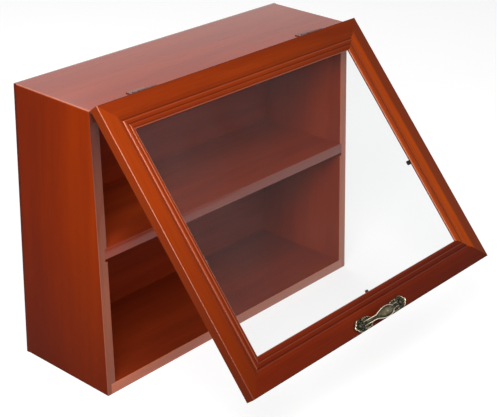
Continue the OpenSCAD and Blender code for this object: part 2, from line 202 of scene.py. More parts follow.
def wood(name, dark, mid, light, rough=0.34, coat=0.0, spec=0.04, contrast=1.0, front_lift=0.0, foot=None):
    """Stained, lacquered cherry: broad figure, fine fibres along the grain and short dark pores.

    The mesh's "edge" values mark arrises, beads and grooves: above 0 a painted highlight, paler and
    with more coat, palest at 2; below 0 darker (painted shade lines on the door's mouldings). Its
    "shade" values mark where shade is painted into the colour. A lift makes the board brighter on
    one side of its depth and darker on the other. foot gives where along the board the painted
    shade is darkest, where it fades out, and how strong that is."""
    n = Nodes(name)
    grain = n.attribute("grain").outputs["Vector"]
    figure = n.noise(n.stretch(grain, (3.2, 30, 30)), 1.0, 4, 0.55, 0.7)
    bands = n.noise(n.stretch(grain, (1.6, 85, 85), (3, 1, 2)), 1.0, 3, 0.6, 0.3)
    fibre = n.noise(n.stretch(grain, (30, 900, 900), (1, 5, 2)), 1.0, 3, 0.7)
    pore = n.noise(n.stretch(grain, (150, 2600, 2600), (7, 2, 4)), 1.0, 2, 0.5)
    tone = n.math("ADD", n.span(figure, 0.32, 0.68, 0, 0.65), n.span(bands, 0.3, 0.7, 0, 0.35))
    tone = n.span(tone, 0, 1, 0.5 - 0.5 * contrast, 0.5 + 0.5 * contrast)
    # lifts the colour on one side of the board's depth and lowers it on the other
    if front_lift:
        tone = n.math("ADD", tone, n.span(n.axis(grain, "Y"), 0.075, 0.12, front_lift, -front_lift))
    colour = n.mix(n.span(tone, 0, 0.55), dark, mid)
    colour = n.mix(n.span(tone, 0.5, 1.0), colour, light)
    colour = n.mix(n.span(fibre, 0.35, 0.62, 0.22 * contrast, 0.0), colour, times(0.5, dark))
    colour = n.mix(n.span(pore, 0.66, 0.74, 0.0, 0.3), colour, times(0.3, dark))
    n.put(n.bsdf.inputs["Roughness"], n.span(fibre, 0.3, 0.7, rough - 0.04, rough + 0.06))
    n.surface({"Specular IOR Level": spec, "Coat Roughness": 0.14, "Coat IOR": 1.5})
    edge = n.attribute("edge").outputs["Fac"]
    # painted highlight: above 0 "edge" makes the colour paler, above 1 paler still
    colour = n.mix(n.span(edge, 0.0, 1.0, 0.0, 0.5), colour, (0.66, 0.15, 0.040))
    colour = n.mix(n.span(edge, 1.0, 2.0, 0.0, 0.8), colour, (0.84, 0.30, 0.15))
    # painted shade: below 0 "edge" makes the colour dark
    colour = n.mix(n.span(edge, -1.0, 0.0, 0.85, 0.0), colour, times(0.22, dark))
    # painted shade: "shade" darkens the colour
    shade = n.attribute("shade").outputs["Fac"]
    colour = n.mix(n.span(shade, 0.0, 1.0, 0.0, 0.9), colour, times(0.4, dark))
    # painted shade: foot darkens the colour towards one end of the board
    if foot:
        stained = (0.55 * dark[0], 0.75 * dark[1], 1.6 * dark[2])
        colour = n.mix(n.span(n.axis(grain, "X"), *foot, 0.0), colour, stained)
    n.put(n.bsdf.inputs["Coat Weight"], n.span(edge, 0.0, 0.8, coat, 1.0))
    n.put(n.bsdf.inputs["Base Color"], colour)
    height = n.math("ADD", n.math("MULTIPLY", fibre, 0.5), n.span(pore, 0.66, 0.76, 0.0, -0.6))
    n.bump(height, 0.12, 0.0004)
    return n.mat


def metal(name, dark, mid, light, rough, wear=False, metallic=1.0):
    """Metal with a mottled tarnish. With wear, raised places follow the mesh's own "wear" values."""
    n = Nodes(name)
    where = n.where()
    mottle = n.noise(where, 420.0, 4, 0.6)
    speck = n.noise(where, 2600.0, 2, 0.5)
    if wear:
        uneven = n.span(mottle, 0.3, 0.7, -0.16, 0.16)
        raised = n.math("ADD", n.attribute("wear").outputs["Fac"], uneven)
        colour = n.mix(n.span(raised, 0.18, 0.5), dark, mid)
        colour = n.mix(n.span(raised, 0.55, 0.86), colour, light)
        rough_out = n.span(raised, 0.2, 0.9, rough + 0.16, rough - 0.08)
    else:
        colour = n.mix(n.span(mottle, 0.35, 0.65), mid, light)
        colour = n.mix(n.span(speck, 0.6, 0.75, 0, 0.5), colour, dark)
        rough_out = n.span(mottle, 0.3, 0.7, rough - 0.05, rough + 0.08)
    n.put(n.bsdf.inputs["Base Color"], colour)
    n.put(n.bsdf.inputs["Roughness"], rough_out)
    n.surface({"Metallic": metallic})
    n.bump(n.math("ADD", mottle, n.math("MULTIPLY", speck, 0.4)), 0.12, 0.0002)
    return n.mat


def painted_black(name):
    """Thin black enamel, slightly uneven."""
    n = Nodes(name)
    where = n.where()
    colour = n.mix(n.noise(where, 900.0), (0.006, 0.006, 0.007), (0.02, 0.02, 0.021))
    n.put(n.bsdf.inputs["Base Color"], colour)
    n.put(n.bsdf.inputs["Roughness"], n.span(n.noise(where, 1500.0), 0.3, 0.7, 0.42, 0.6))
    n.bump(n.noise(where, 3000.0), 0.1, 0.0001)
    return n.mat


def pane(name):
    """Clear float glass: a faint pale veil over what is behind it, a painted reflection of the bright
    surroundings, and a mirror at a low angle.
    """
    n = Nodes(name)
    where = n.where()
    veil_noise = n.noise(where, 14.0, 5, 0.6)
    # painted reflection: a pale diffuse layer, about one and a half percent of the surface, stands in for
    # the surroundings mirrored in the glass
    colour = n.mix(n.span(veil_noise, 0.35, 0.65), (0.70, 0.70, 0.71), (0.76, 0.77, 0.78))
    n.put(n.bsdf.inputs["Base Color"], colour)
    n.put(n.bsdf.inputs["Roughness"], n.span(veil_noise, 0.3, 0.7, 0.45, 0.6))
    n.surface({"Specular IOR Level": 0.0})
    clear = n.add("ShaderNodeBsdfTransparent", {"Color": (0.948, 0.952, 0.952, 1)})
    veiled = n.mix_shaders(n.span(veil_noise, 0.3, 0.7, 0.013, 0.018), clear.outputs[0], n.bsdf.outputs[0])
    mirror = n.add("ShaderNodeBsdfGlossy", {"Color": (0.9, 0.91, 0.91, 1), "Roughness": 0.03})
    facing = n.add("ShaderNodeLayerWeight", {"Blend": 0.5}).outputs["Facing"]
    glance = n.math("MULTIPLY", n.span(facing, 0.45, 1.0), n.span(facing, 0.45, 1.0, 0.0, 0.8))
    n.put(n.out.inputs["Surface"], n.mix_shaders(glance, veiled, mirror.outputs[0]))
    return n.mat


# Each wood's three colours run from the dark of its figure to the light
# The sides: foot darkens their lower end, painted shade; the lift makes them brighter on one side of their
# depth
M_SIDE = wood("cherry_side", (0.215, 0.020, 0.0042), (0.285, 0.0275, 0.0030), (0.38, 0.041, 0.0018),
              spec=0.02, contrast=0.75, front_lift=0.24, foot=(0.0, 0.14, 0.6))
M_TOP = wood("cherry_top", (0.20, 0.018, 0.0042), (0.275, 0.027, 0.0030), (0.37, 0.041, 0.0020),
             rough=0.3, coat=0.68, contrast=0.6)
M_INNER = wood("cherry_inner", (0.23, 0.023, 0.004), (0.31, 0.034, 0.005), (0.38, 0.046, 0.006),
               rough=0.5, spec=0.26)
# The bottom board's inside: a darker copy of the inner wood, painted shade
M_INNER_LOW_SHADED = wood("cherry_inner_low_painted_shade", (0.165, 0.0165, 0.0030), (0.225, 0.0240, 0.0038),
                   (0.285, 0.033, 0.0046), rough=0.5, spec=0.2)
M_EDGE = wood("cherry_edge", (0.16, 0.025, 0.007), (0.22, 0.038, 0.012), (0.28, 0.052, 0.018),
              rough=0.4, coat=0.7, contrast=0.6)
# The left side's front edge: darker than the right's, painted shade, and darker still towards its top,
# more painted shade
M_EDGE_LEFT_SHADED = wood("cherry_edge_left_painted_shade", (0.22, 0.035, 0.010), (0.32, 0.085, 0.042), (0.39, 0.110, 0.055),
                   rough=0.4, coat=0.35, contrast=0.6, foot=(0.22, 0.09, 1.0))
# The front edges of the right side and the bottom: paler, as bare edges are, and lighter than the left's,
# painted light
M_EDGE_PALE_LIT = wood("cherry_edge_pale_and_painted_light", (0.45, 0.097, 0.0385), (0.55, 0.130, 0.053), (0.63, 0.155, 0.066),
                   rough=0.4, coat=1.0, contrast=0.6)
M_EDGE_SHELF = wood("cherry_edge_shelf", (0.20, 0.024, 0.009), (0.275, 0.037, 0.014), (0.33, 0.05, 0.020),
                    rough=0.4, coat=0.7, contrast=0.6)
M_DOOR = wood("cherry_door", (0.19, 0.020, 0.0030), (0.27, 0.031, 0.0030), (0.36, 0.047, 0.0035),
              rough=0.3, spec=0.03, contrast=0.8)
# The bottom rail: a darker copy of the door wood, painted shade
M_DOOR_LOW_SHADED = wood("cherry_door_low_painted_shade", (0.105, 0.0090, 0.0017), (0.150, 0.0145, 0.0022),
                  (0.205, 0.022, 0.0027), rough=0.3, spec=0.03, contrast=0.8)
# The right stile: a lighter copy of the door wood, painted light
M_DOOR_RIGHT_LIT = wood("cherry_door_right_painted_light", (0.25, 0.029, 0.0032), (0.35, 0.047, 0.0041),
                    (0.46, 0.071, 0.0052), rough=0.3, spec=0.05, contrast=0.8)
M_BACK = wood("back_board", (0.20, 0.0185, 0.0030), (0.285, 0.0275, 0.0042), (0.36, 0.039, 0.0062),
              rough=0.55, spec=0.15)
M_BRASS = metal("hinge_brass", (0.05, 0.022, 0.018), (0.15, 0.070, 0.058), (0.21, 0.105, 0.088), 0.45)
M_STEEL = metal("plain_steel", (0.18, 0.17, 0.16), (0.45, 0.44, 0.42), (0.6, 0.59, 0.56), 0.35)
M_PULL = metal("antique_brass", (0.020, 0.022, 0.016), (0.135, 0.112, 0.060), (0.70, 0.58, 0.42), 0.42,
               wear=True, metallic=0.85)
M_BLACK = painted_black("tab_black")
M_GLASS = pane("pane_glass")


# ---------------------------------------------------------------- mesh helpers
def link(name, mesh, body, mats, node):
    """Puts a piece in the scene on its body, in the place of a node of the frame."""
    obj = bpy.data.objects.new(name, mesh)
    bpy.context.scene.collection.objects.link(obj)
    for m in mats:
        mesh.materials.append(m)
    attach(obj, body)
    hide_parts(node)


def set_grain(mesh, function):
    """Stores where each vertex lies along, across and into the board, for the wood's figure."""
    values = []
    for v in mesh.vertices:
        values.extend(function(v.co))
    layer = mesh.attributes.new("grain", "FLOAT_VECTOR", "POINT")
    layer.data.foreach_set("vector", values)


def new_bmesh(*layers):
    """A bmesh with the named float layers, which have to be there before its first vertex."""
    bm = bmesh.new()
    for name in layers:
        bm.verts.layers.float.new(name)
    return bm


def set_values(bm, rings, name, values):
    """Stores one number for each vertex of each ring."""
    layer = bm.verts.layers.float[name]
    for ring, row in zip(rings, values):
        for v, value in zip(ring, row):
            v[layer] = value


def skin(bm, rings):
    """Joins rings of vertices with quads and closes both ends."""
    for a, b in zip(rings, rings[1:]):
        for i in range(len(a)):
            j = (i + 1) % len(a)
            bm.faces.new((a[i], a[j], b[j], b[i]))
    bm.faces.new(rings[0][::-1])
    bm.faces.new(rings[-1])


def loft(bm, rings):
    """Skins rings of points. Returns the rings of vertices."""
    made = [[bm.verts.new(p) for p in ring] for ring in rings]
    skin(bm, made)
    return made


def finish_mesh(name, bm, sharp_deg=32):
    """Turns a bmesh into a smooth mesh, with sharp edges where it bends by more than that angle."""
    bmesh.ops.recalc_face_normals(bm, faces=bm.faces)
    mesh = bpy.data.meshes.new(name)
    bm.to_mesh(mesh)
    bm.free()
    for p in mesh.polygons:
        p.use_smooth = True
    mesh.set_sharp_from_angle(angle=math.radians(sharp_deg))
    return mesh


def arc(cx, cz, r, a0, a1, count):
    """Points on an arc, with its angles in degrees."""
    turns = [math.radians(a0 + (a1 - a0) * i / count) for i in range(count + 1)]
    return [(cx + r * math.cos(t), cz + r * math.sin(t)) for t in turns]


def board(name, outline, mats, along, offset, fillers=(), inside=None, rubbed=0.45):
    """A board whose outline is seen from the front, running from the leaning front to the back panel.

    An outline point is x, z and how much painted highlight its edge gets. along is the grain's direction.
    The front takes the second material, and the faces that inside picks take the third. fillers are
    boxes, each from corner to corner, that close the part of a groove behind its notch. rubbed is
    the painted highlight along the eased front edges."""
    bm = new_bmesh("edge")
    count = len(outline)
    flat = [Vector(p[:2]) for p in outline]
    inset = []
    for i, p in enumerate(flat):
        d0 = (p - flat[i - 1]).normalized()
        d1 = (flat[(i + 1) % count] - p).normalized()
        n0, n1 = Vector((-d0.y, d0.x)), Vector((-d1.y, d1.x))
        inset.append(p + (n0 + n1) / max(1 + n0.dot(n1), 0.3) * EASE)
    steps = 4
    rings, values = [], []
    for k in range(steps + 1):
        turn = math.radians(90 * k / steps)
        ring = [a.lerp(b, 1 - math.sin(turn)) for a, b in zip(flat, inset)]
        rings.append([(p.x, front_y(p.y) + EASE * (1 - math.cos(turn)), p.y) for p in ring])
        # painted highlight along the eased front edge, on the rings of its rounding
        rim = rubbed if 0 < k < steps else 0.0
        values.append([max(rim, p[2]) if k else 0.0 for p in outline])
    rings.append([(p.x, Y_PANEL, p.y) for p in flat])
    values.append([p[2] for p in outline])
    made = loft(bm, rings)
    set_values(bm, made, "edge", values)
    for lo, hi in fillers:
        size = Vector(hi) - Vector(lo)
        place = Matrix.Translation((Vector(lo) + Vector(hi)) / 2) @ Matrix.Diagonal((*size, 1))
        bmesh.ops.create_cube(bm, size=1, matrix=place)
    mesh = finish_mesh(name, bm)
    for p in mesh.polygons:
        if p.center.y < front_y(p.center.z) + EASE * 0.9:
            p.material_index = 1
        elif inside and inside(p.center):
            p.material_index = 2
    axis = {"x": lambda c: (c.x, c.z, c.y), "z": lambda c: (c.z, c.y, c.x)}[along]
    set_grain(mesh, lambda c: [a + b for a, b in zip(axis(c), offset)])
    link(name + "_board", mesh, "case", mats, name)


# ---------------------------------------------------------------- case
def make_case():
    """The five boards. Their top corners are rounded and mitred, half on the side and half on the top,
    with a painted highlight along the rounding.
    """
    r, near = 0.0009, 0.0007  # the corner's radius, and how far from it the painted highlight starts
    chamfer, apart = 0.0005, 0.00001  # of the feet of the sides, and of a filler from its groove
    right_highlight_share = 0.3  # the painted highlight on the right arrises is weaker than on the left ones, as the light comes from the left
    cx, cz = HALF_W - r, CASE_H - r
    # painted highlight along the rounded top corner, fading out at both ends
    rubbed = (0.0, 0.7, 1.0, 1.0, 1.0)
    round_side = [(*p, e) for p, e in zip(arc(cx, cz, r, 0, 45, 4), rubbed)]
    round_top = [(*p, e) for p, e in zip(arc(cx, cz, r, 45, 90, 4), reversed(rubbed))]
    groove_lo, groove_hi = SHELF_Z - NOTCH_H, SHELF_Z + SHELF_T
    side = [
        (HALF_W - chamfer, 0, 0), (HALF_W, chamfer, 0), (HALF_W, cz - near, 0), *round_side,
        (INNER_HALF, CASE_H - BOARD_T, 0),
        (INNER_HALF, groove_hi, 0), (INNER_HALF + GROOVE_D, groove_hi, 0),
        (INNER_HALF + GROOVE_D, groove_lo, 0), (INNER_HALF, groove_lo, 0),
        (INNER_HALF, BOARD_T, 0), (HALF_W - RABBET_LIP, BOARD_T, 0), (HALF_W - RABBET_LIP, 0, 0),
    ]
    right = [(x, z, e * right_highlight_share) for x, z, e in side]
    left = [(-x, z, e) for x, z, e in reversed(side)]
    for s, name, outline, edge in (
        (1, "right_side", right, M_EDGE_PALE_LIT), (-1, "left_side", left, M_EDGE_LEFT_SHADED),
    ):
        x0, x1 = sorted((s * INNER_HALF, s * (INNER_HALF + GROOVE_D)))
        filler = ((x0, front_y(SHELF_Z) + NOTCH_L, groove_lo - apart), (x1, Y_PANEL, SHELF_Z))
        board(name, outline, [M_SIDE, edge, M_INNER], "z", (0, 0.1, 1.3 - 0.6 * s), fillers=[filler],
              inside=lambda c: abs(c.x) < HALF_W - SIDE_T * 0.4)
    edge_top = [*round_top, (cx - near, CASE_H, 0)]
    top = [*[(x, z, e * right_highlight_share) for x, z, e in edge_top], *[(-x, z, e) for x, z, e in reversed(edge_top)],
           (-INNER_HALF, CASE_H - BOARD_T, 0), (INNER_HALF, CASE_H - BOARD_T, 0)]
    board("top_panel", top, [M_TOP, M_EDGE, M_INNER], "x", (0.05, 0.9, 0.2),
          inside=lambda c: c.z < CASE_H - BOARD_T * 0.4)
    low, ends = HALF_W - RABBET_LIP, INNER_HALF + GROOVE_D
    board("bottom_panel", [(-low, 0, 0), (low, 0, 0), (low, BOARD_T, 0), (-low, BOARD_T, 0)],
          [M_INNER_LOW_SHADED, M_EDGE_PALE_LIT], "x", (0.6, 0.3, 0.4))
    high = SHELF_Z + SHELF_T
    board("shelf", [(-ends, SHELF_Z, 0), (ends, SHELF_Z, 0), (ends, high, 0), (-ends, high, 0)],
          [M_INNER, M_EDGE_SHELF], "x", (0.9, 0.6, 0.1), rubbed=0.0)
    make_back()


def make_back():
    """The back board, nailed on over the rear edges, its own edges stained like what they meet."""
    rear = Y_BACK - BRAD_PROUD
    rings, values = [], []
    for y, inset in ((Y_PANEL, 0), (rear - EASE, 0), (rear - EASE * 0.3, EASE * 0.3), (rear, EASE)):
        x, z0, z1 = HALF_W - inset, inset, CASE_H - inset
        rings.append([(-x, y, z0), (x, y, z0), (x, y, z1), (-x, y, z1)])
        values.append([0.0 if y < rear - EASE * 1.5 else -0.5] * 4)
    values[-1] = [-0.3] * 4
    bm = new_bmesh("edge")
    made = loft(bm, rings)
    set_values(bm, made, "edge", values)
    mesh = finish_mesh("back_panel", bm, 25)
    for p in mesh.polygons:
        if p.normal.z > 0.9:
            p.material_index = 1
        elif abs(p.normal.x) > 0.9:
            p.material_index = 2
    set_grain(mesh, lambda c: (c.x + 0.2, c.z + 0.4, c.y))
    link("back_panel_board", mesh, "case", [M_BACK, M_TOP, M_SIDE], "back_panel")


make_case()


# ---------------------------------------------------------------- door
def moulding(arris, foot, crest_out, groove, crest_in, lip_highlight):
    """Section of a rail, counter-clockwise: distance from the outer edge, height above the back and
    how much painted highlight (above 0) or painted shade (below 0) each point has.

    The six values mark the outer arris, the foot of the slope, the outer bead's crest, the groove
    between the beads, the inner bead's crest, and the lip at the glass."""
    bed = FRAME_T - BED_D
    lip = FRAME_T - SEAT_D
    chamfer, toe_h = 0.0002, 0.00012
    pts = [(ARRIS_R * 0.4, 0, 0), (REBATE_W, 0, 0), (REBATE_W, lip, 0), (RAIL_W - chamfer, lip, 0)]
    pts += [(RAIL_W, lip + chamfer, lip_highlight), (RAIL_W, bed - COVE_R - 0.0001, lip_highlight)]
    pts += [(RAIL_W - 0.00015, bed - COVE_R + 0.00002, lip_highlight)]
    cove = arc(RAIL_W, bed, COVE_R, 262, 184, 7)
    # painted highlight at the lip, fading along the cove
    pts += [(w, h, lip_highlight * max(0.0, 1 - i / 3)) for i, (w, h) in enumerate(cove)]
    # painted highlight on each bead's crest, and painted highlight or shade at its two ends
    for (w, rise, r), crest, at, wide, first, last in (
        (BEADS[1], crest_in, 7.8, 1.9, 0, groove), (BEADS[0], crest_out, 7.6, 1.5, groove, foot),
    ):
        half = math.degrees(math.acos((r - rise) / r))
        marks = [crest * max(0.0, 1 - abs(i - at) / wide) for i in range(11)]
        marks[0], marks[10] = first, last
        pts += [(*p, m) for p, m in zip(arc(w, bed + rise - r, r, 90 - half, 90 + half, 10), marks)]
    run, rise = SLOPE_W - TOE - FLAT_W, BED_D - toe_h
    # painted highlight or shade at the foot of the slope
    pts += [(SLOPE_W, bed, foot), (SLOPE_W - TOE, bed + toe_h, foot)]
    for i in range(1, 7):
        t = i / 6
        bend = t * t * (3 - 2 * t) * 0.35 + t * 0.65
        pts.append((SLOPE_W - TOE - run * t, bed + toe_h + rise * bend, 0))
    pts += [(w * FLAT_W, FRAME_T, 0) for w in (0.97, 0.84, 0.6)]
    # painted highlight or shade along the outer arris
    corner = arc(ARRIS_R, FRAME_T - ARRIS_R, ARRIS_R, 90, 180, 6)
    pts += [(*p, e * arris) for p, e in zip(corner, (0, 0.6, 1, 1, 1, 0.5, 0))]
    pts += [(0, FRAME_T - ARRIS_R * 2, 0), (0, ARRIS_R * 0.4, 0)]
    return pts


def rail(name, place, half, offset, along, mat, marks, shade_at):
    """A mitred rail of the door.

    place maps (along, in from the outer edge, above the back) to the door's coordinates. marks are
    the section's six values of painted highlight and painted shade. The last argument gives how much
    shade is painted into the colour at a share along the rail and a distance from its outer edge."""
    section = moulding(*marks)
    bm = new_bmesh("edge", "shade")
    steps = 14
    stations = [-1 + 2 * i / steps for i in range(steps + 1)]
    rings = [[DOOR @ Vector(place(t * (half - w), w, h)) for w, h, e in section] for t in stations]
    made = loft(bm, rings)
    set_values(bm, made, "edge", [[e for w, h, e in section] for t in stations])
    set_values(bm, made, "shade", [[shade_at((t + 1) / 2, w) for w, h, e in section] for t in stations])
    mesh = finish_mesh(name, bm, 28)
    back = DOOR.inverted()
    order = (0, 2, 1) if along == "x" else (2, 0, 1)
    set_grain(mesh, lambda c: [(back @ c)[i] + o for i, o in zip(order, offset)])
    link(name + "_moulded", mesh, "door", [mat], name)


def make_frame():
    """The door's four rails, each with its own painted highlights, painted shade lines and painted shade.
    """
    top, low = -AXIS_DROP, -AXIS_DROP - DOOR_H
    mid = (top + low) / 2
    # Each rail's six values are painted highlight (above 0) and painted shade (below 0); its last function
    # paints shade into the colour: towards the right on the top rail, towards the bottom on the left
    # stile, on the outer flat of the right stile
    rail("door_top_rail", lambda a, w, h: (a, -SHUT_GAP - h, top - w), HALF_W, (0.2, 0.5, 0.3), "x",
         M_DOOR, (-0.9, -0.55, 0.3, -0.55, 0.12, 0.5), lambda t, w: 0.3 * t)
    rail("door_bottom_rail", lambda a, w, h: (-a, -SHUT_GAP - h, low + w), HALF_W, (0.7, 0.2, 0.9), "x",
         M_DOOR_LOW_SHADED, (-0.9, 0.12, -0.4, 0.15, -0.3, 0.3), lambda t, w: 0.0)
    rail("door_left_stile", lambda a, w, h: (-HALF_W + w, -SHUT_GAP - h, mid + a), DOOR_H / 2,
         (0.4, 0.8, 0.6), "z", M_DOOR, (0.5, -0.15, 0.95, -0.3, 1.0, 2.0),
         lambda t, w: 0.75 * max(0.0, 1 - t / 0.7))
    rail("door_right_stile", lambda a, w, h: (HALF_W - w, -SHUT_GAP - h, mid - a), DOOR_H / 2,
         (0.1, 0.35, 0.15), "z", M_DOOR_RIGHT_LIT, (-0.7, 0.1, 0.7, -1.0, 0.7, 2.0),
         lambda t, w: 0.65 * min(1.0, max(0.0, (0.0125 - w) / 0.0015)))


def make_pane():
    """The pane, its edges ground at 45 degrees."""
    top, low = -AXIS_DROP, -AXIS_DROP - DOOR_H
    hx = HALF_W - REBATE_W - GLASS_FIT
    z1, z0 = top - REBATE_W - GLASS_FIT, low + REBATE_W + GLASS_FIT
    h0, h1 = FRAME_T - SEAT_D - GLASS_T, FRAME_T - SEAT_D
    rings = []
    for inset, h in ((GROUND, h0), (0, h0 + GROUND), (0, h1 - GROUND), (GROUND, h1)):
        rings.append([DOOR @ Vector((sx * (hx - inset), -SHUT_GAP - h, z))
                      for sx, z in ((-1, z0 + inset), (1, z0 + inset), (1, z1 - inset), (-1, z1 - inset))])
    bm = bmesh.new()
    loft(bm, rings)
    mesh = finish_mesh("glass_pane_clear", bm, 20)
    link("glass_pane_clear", mesh, "door", [M_GLASS], "glass_pane")


def make_tabs():
    """Flat black tabs with rounded tips, each pressed on the back of the glass."""
    h1 = FRAME_T - SEAT_D - GLASS_T
    rear, front = 0.00015, 0.0001  # rounding of their edges
    top, low = -AXIS_DROP, -AXIS_DROP - DOOR_H
    tip_x = HALF_W - RAIL_W - TAB_SIDE_REACH
    places = [
        ((tip_x, top - TAB_SIDE_DOWN), (1, 0)),
        ((-tip_x, top - TAB_SIDE_DOWN), (-1, 0)),
        ((TAB_TOP_X, top - RAIL_W - TAB_TOP_REACH), (0, 1)),
        ((TAB_LOW_X, low + RAIL_W + TAB_LOW_REACH), (0, -1)),
    ]
    outline = [(TAB_L, -TAB_W / 2), (TAB_L, TAB_W / 2)]
    outline += arc(TAB_ROUND, TAB_W / 2 - TAB_ROUND, TAB_ROUND, 90, 180, 5)
    outline += arc(TAB_ROUND, -TAB_W / 2 + TAB_ROUND, TAB_ROUND, 180, 270, 5)
    bm = bmesh.new()
    for (x, z), (dx, dz) in places:
        rings = []
        for h, inset in (
            (h1 - TAB_T, rear), (h1 - TAB_T + rear, 0), (h1 - front, 0), (h1, front),
        ):
            ring = []
            for a, b in outline:
                a, b = a + inset if a < 0.001 else a, b * (1 - inset / TAB_W * 2)
                ring.append(DOOR @ Vector((x + dx * a - dz * b, -SHUT_GAP - h, z + dz * a + dx * b)))
            rings.append(ring)
        loft(bm, rings)
    mesh = finish_mesh("glazing_tabs_black", bm)
    link("glazing_tabs_black", mesh, "door", [M_BLACK], "glazing_tabs")


make_frame()
make_pane()
make_tabs()

# The small hardware is the frame's own meshes with a material
for node_name, material in (
    ("back_brads", M_STEEL), ("hinge_left_case_leaf", M_BRASS),
    ("hinge_right_case_leaf", M_BRASS), ("hinge_left_pin", M_STEEL), ("hinge_right_pin", M_STEEL),
    ("case_leaf_screws", M_BRASS), ("hinge_left_door_leaf", M_BRASS), ("hinge_right_door_leaf", M_BRASS),
    ("door_leaf_screws", M_BRASS),
):
    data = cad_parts[node_name].data
    data.materials.clear()
    data.materials.append(material)


# ---------------------------------------------------------------- pull
# Its vertices carry "wear", from 0 where the casting is dark to 1 where it is rubbed bright
BOW_HALF, BOW_H, GAP_HALF, GAP_H = 0.020, 0.0094, 0.0165, 0.0068
BOW_ROOT_W, BOW_MID_W, SWELL_L = 0.0038, 0.0094, 0.027
RIM_H, LOBES, TIP_R, TIP_OUT = 0.0021, 10, 0.0019, 0.0051
SEAT_H, HEAD_R, DOME_H, SHANK_R, SCREW_L = 0.0018, 0.0023, 0.0013, 0.001, 0.0065
SLOT_D, SLOT_HALF, SLOT_SOFT, SLOT_TURN = 0.00055, 0.00042, 0.00012, 0.5
FOOT_H = 0.0022


def circle_rise(half, rise, x):
    """Height above its chord of an arc of that half width and rise."""
    r = (half * half + rise * rise) / (2 * rise)
    return rise - r + math.sqrt(max(r * r - x * x, 0.0)) if abs(x) < r else rise - r


def soft_max(a, b, k=0.0006):
    """The larger of two, blended over about k where they meet."""
    return max(a, b) + k * math.exp(-abs(a - b) / k) * 0.5


def cast_vertex(bm, wear, x, y, z, rubbed=0.0):
    """A vertex given in the pull's coordinates."""
    vertex = bm.verts.new(PULL @ Vector((x, y, z)))
    vertex[wear] = rubbed
    return vertex


def add_rosette(bm, wear, side):
    """Shell-like boss: a beaded lobed rim, fluted petals and a flat seat for the screw."""
    around = 120
    radii = (0.30, 0.42, 0.45, 0.50, 0.58, 0.68, 0.76, 0.80, 0.84, 0.88, 0.92, 0.955, 0.98, 1.0, 1.0)
    rings = []
    for k, share in enumerate(radii):
        ring = []
        for i in range(around):
            t = 2 * math.pi * i / around
            lobe = abs(math.cos(LOBES * t / 2))
            reach = ROSETTE_R * (0.92 + 0.08 * lobe ** 0.6)
            if abs(math.sin(t)) < TIP_R / TIP_OUT and math.cos(t) > 0:
                tip = TIP_OUT * math.cos(t) + math.sqrt(TIP_R ** 2 - (TIP_OUT * math.sin(t)) ** 2)
                reach = max(reach, tip)
            if share < 0.43:
                high, rubbed = SEAT_H, 0.12
            elif share < 0.47:
                high, rubbed = 0.0009, 0.0
            elif share < 0.79:
                rise = math.sin(math.pi * (share - 0.45) / 0.36)
                high = 0.0009 + 0.0009 * rise * (0.25 + 0.75 * lobe ** 1.5)
                rubbed = 0.08 + 0.34 * rise * lobe ** 2
            elif share < 0.82:
                high, rubbed = 0.0009, 0.02
            elif share < 0.99:
                rise = math.sin(math.pi * min(1.0, (share - 0.81) / 0.2))
                high = 0.0008 + (RIM_H - 0.0008) * rise ** 0.7 * (0.8 + 0.2 * lobe)
                rubbed = (0.2 + 0.8 * rise) * (0.32 + 0.68 * max(0.0, math.cos(t)) ** 0.5)
            else:
                high, rubbed = (0.0007, 0.3) if k < len(radii) - 1 else (0.0, 0.1)
            x = side * (PULL_SPAN / 2 + reach * share * math.cos(t))
            ring.append(cast_vertex(bm, wear, x, reach * share * math.sin(t), high, rubbed))
        rings.append(ring)
    skin(bm, rings)


def add_bow(bm, wear):
    """Arched grip: beaded rims along both sides, and between them a leaf-shaped swell with a rib."""
    stations = 72
    reach = BOW_HALF + 0.0030
    rings = []
    for k in range(stations + 1):
        x = reach * (2 * k / stations - 1)
        half = BOW_ROOT_W / 2
        if abs(x) < SWELL_L / 2:
            r = (SWELL_L ** 2 / 4 + BOW_MID_W ** 2 / 4) / BOW_MID_W
            half = soft_max(half, BOW_MID_W / 2 - r + math.sqrt(r * r - x * x), 0.0003)
        half = min(half, BOW_MID_W / 2)
        top = soft_max(circle_rise(BOW_HALF, BOW_H, x), FOOT_H - 0.0003)
        under = circle_rise(GAP_HALF, GAP_H, x) if abs(x) < GAP_HALF else 0.0
        under = min(under, top - 0.0016)
        rim, groove = 0.00032, 0.00085
        swell = max(0.0, half - BOW_ROOT_W / 2) / (BOW_MID_W / 2 - BOW_ROOT_W / 2)
        inner = half - groove
        section = [(half, -0.0010, 0.3), (half, -0.0004, 0.6), (half - 0.0001, 0.0000, 0.95),
                   (half - rim, 0.00018, 1.0), (half - 0.00055, 0.0000, 0.9),
                   (half - 0.0007, -0.00045, 0.2), (inner, -0.0006, 0.0)]
        for share in (0.85, 0.65, 0.42, 0.22):
            crown = math.cos(share * math.pi / 2)
            section.append((inner * share, -0.0006 + (0.0003 + 0.0005 * swell) * crown,
                            0.12 + (0.1 + 0.36 * swell) * crown))
        section.append((0.00035 * swell + 0.0001, -0.00025 + 0.00035 * swell, 0.15 + 0.35 * swell))
        section.append((0.00015 * swell + 0.00005, -0.0002 + 0.00045 * swell, 0.15 + 0.45 * swell))
        ring = [(y, top + h, w) for y, h, w in section]
        ring += [(-y, top + h, w) for y, h, w in reversed(section)]
        edge = min(0.0004, (top - under) * 0.25)
        ring += [(-half, under + edge, 0.15), (-half + 0.0004, under, 0.1),
                 (half - 0.0004, under, 0.1), (half, under + edge, 0.15)]
        rings.append([cast_vertex(bm, wear, x, y, max(z, 0.0), w) for y, z, w in ring])
    skin(bm, rings)


